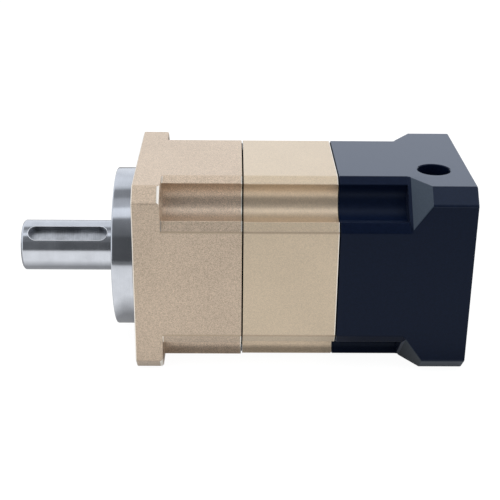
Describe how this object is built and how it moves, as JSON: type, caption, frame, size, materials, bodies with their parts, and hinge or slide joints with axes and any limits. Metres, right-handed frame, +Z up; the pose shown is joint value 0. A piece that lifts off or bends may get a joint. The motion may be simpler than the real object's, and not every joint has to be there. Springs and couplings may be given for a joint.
{
  "type": "planetary gearbox",
  "caption": "In-line planetary gearbox with a square frame, round pilot, keyed output shaft and a motor adapter with a clamp hub and access hole.",
  "frame": {"origin": "under the middle of the gearbox's length and width, on the surface that it lies on", "axes": "+X along the gearbox's axis, from the output shaft towards the motor; +Z up, through the flat with the access hole; +Y to the side"},
  "size_m": [0.1384, 0.06, 0.06],
  "materials": {
    "blasted_gold": "blasted and anodised champagne gold",
    "machined_gold": "fine machined and anodised champagne gold",
    "black_anodised": "blasted and anodised black",
    "turned_steel": "bright turned and ground",
    "bearing_steel": "ground and polished",
    "gear_steel": "hardened, satin",
    "spring_steel": "phosphated, dark",
    "cage_steel": "pressed, bright",
    "bronze": "turned",
    "plain_aluminium": "turned, natural",
    "black_rubber": "moulded, matt",
    "black_screw": "black oxide"
  },
  "bodies": {
    "housing": {"output_housing": "blasted_gold", "pilot_ring": "turned_steel", "output_oil_seal": "black_rubber", "front_bearing_outer_ring": "bearing_steel", "rear_bearing_outer_ring": "bearing_steel", "rear_bearing_circlip": "spring_steel", "ring_gear": "machined_gold", "front_o_ring": "black_rubber", "rear_o_ring": "black_rubber", "input_adapter": "black_anodised", "input_bearing_outer_ring": "bearing_steel", "input_bearing_circlip": "spring_steel", "input_oil_seal": "black_rubber", "housing_screw_1": "black_screw", "housing_screw_2": "black_screw", "housing_screw_3": "black_screw", "housing_screw_4": "black_screw"},
    "output_shaft": {"output_shaft": "turned_steel", "output_shaft_circlip": "spring_steel", "bearing_spacer": "plain_aluminium", "front_bearing_inner_ring": "bearing_steel", "rear_bearing_inner_ring": "bearing_steel", "output_thrust_washer": "bronze", "output_planet_pin_1": "bearing_steel", "output_planet_pin_2": "bearing_steel", "output_planet_pin_3": "bearing_steel"},
    "front_cage": {"front_bearing_cage": "cage_steel"},
    "rear_cage": {"rear_bearing_cage": "cage_steel"},
    "output_planet_1": {"output_planet_gear_1": "gear_steel", "output_planet_bush_1": "bronze"},
    "output_planet_2": {"output_planet_gear_2": "gear_steel", "output_planet_bush_2": "bronze"},
    "output_planet_3": {"output_planet_gear_3": "gear_steel", "output_planet_bush_3": "bronze"},
    "input_carrier": {"input_carrier": "gear_steel", "output_sun_gear": "gear_steel", "input_thrust_washer": "bronze", "input_planet_pin_1": "bearing_steel", "input_planet_pin_2": "bearing_steel", "input_planet_pin_3": "bearing_steel"},
    "input_planet_1": {"input_planet_gear_1": "gear_steel", "input_planet_bush_1": "bronze"},
    "input_planet_2": {"input_planet_gear_2": "gear_steel", "input_planet_bush_2": "bronze"},
    "input_planet_3": {"input_planet_gear_3": "gear_steel", "input_planet_bush_3": "bronze"},
    "input_hub": {"input_hub": "turned_steel", "input_sun_gear": "gear_steel", "input_bearing_inner_ring": "bearing_steel", "input_hub_circlip": "spring_steel", "clamp_collar": "plain_aluminium", "clamp_screw": "black_screw"},
    "input_cage": {"input_bearing_cage": "cage_steel"}
  },
  "joints": [
    {"name": "output_spin", "type": "hinge", "parent": "housing", "child": "output_shaft", "pos_m": [0, 0, 0.03], "axis": [1, 0, 0], "continuous": true},
    {"name": "front_cage_spin", "type": "hinge", "parent": "housing", "child": "front_cage", "pos_m": [-0.0244, 0, 0.03], "axis": [1, 0, 0], "continuous": true},
    {"name": "rear_cage_spin", "type": "hinge", "parent": "housing", "child": "rear_cage", "pos_m": [-0.0102, 0, 0.03], "axis": [1, 0, 0], "continuous": true},
    {"name": "output_planet_spin_1", "type": "hinge", "parent": "output_shaft", "child": "output_planet_1", "pos_m": [0.0083, 0, 0.0444], "axis": [1, 0, 0], "continuous": true},
    {"name": "output_planet_spin_2", "type": "hinge", "parent": "output_shaft", "child": "output_planet_2", "pos_m": [0.0083, -0.01247, 0.0228], "axis": [1, 0, 0], "continuous": true},
    {"name": "output_planet_spin_3", "type": "hinge", "parent": "output_shaft", "child": "output_planet_3", "pos_m": [0.0083, 0.01247, 0.0228], "axis": [1, 0, 0], "continuous": true},
    {"name": "input_carrier_spin", "type": "hinge", "parent": "housing", "child": "input_carrier", "pos_m": [0.0165, 0, 0.03], "axis": [1, 0, 0], "continuous": true},
    {"name": "input_planet_spin_1", "type": "hinge", "parent": "input_carrier", "child": "input_planet_1", "pos_m": [0.0232, 0, 0.0435], "axis": [1, 0, 0], "continuous": true},
    {"name": "input_planet_spin_2", "type": "hinge", "parent": "input_carrier", "child": "input_planet_2", "pos_m": [0.0232, -0.01169, 0.02325], "axis": [1, 0, 0], "continuous": true},
    {"name": "input_planet_spin_3", "type": "hinge", "parent": "input_carrier", "child": "input_planet_3", "pos_m": [0.0232, 0.01169, 0.02325], "axis": [1, 0, 0], "continuous": true},
    {"name": "input_spin", "type": "hinge", "parent": "housing", "child": "input_hub", "pos_m": [0.0383, 0, 0.03], "axis": [1, 0, 0], "continuous": true},
    {"name": "input_cage_spin", "type": "hinge", "parent": "housing", "child": "input_cage", "pos_m": [0.0383, 0, 0.03], "axis": [1, 0, 0], "continuous": true}
  ],
  "couplings": [
    {"joint": "front_cage_spin", "follows": "output_spin", "ratio": 0.4115},
    {"joint": "rear_cage_spin", "follows": "output_spin", "ratio": 0.4032},
    {"joint": "output_planet_spin_1", "follows": "output_spin", "ratio": -3},
    {"joint": "output_planet_spin_2", "follows": "output_spin", "ratio": -3},
    {"joint": "output_planet_spin_3", "follows": "output_spin", "ratio": -3},
    {"joint": "input_carrier_spin", "follows": "output_spin", "ratio": 4},
    {"joint": "input_planet_spin_1", "follows": "output_spin", "ratio": -10.667},
    {"joint": "input_planet_spin_2", "follows": "output_spin", "ratio": -10.667},
    {"joint": "input_planet_spin_3", "follows": "output_spin", "ratio": -10.667},
    {"joint": "input_spin", "follows": "output_spin", "ratio": 20},
    {"joint": "input_cage_spin", "follows": "output_spin", "ratio": 8.597}
  ]
}
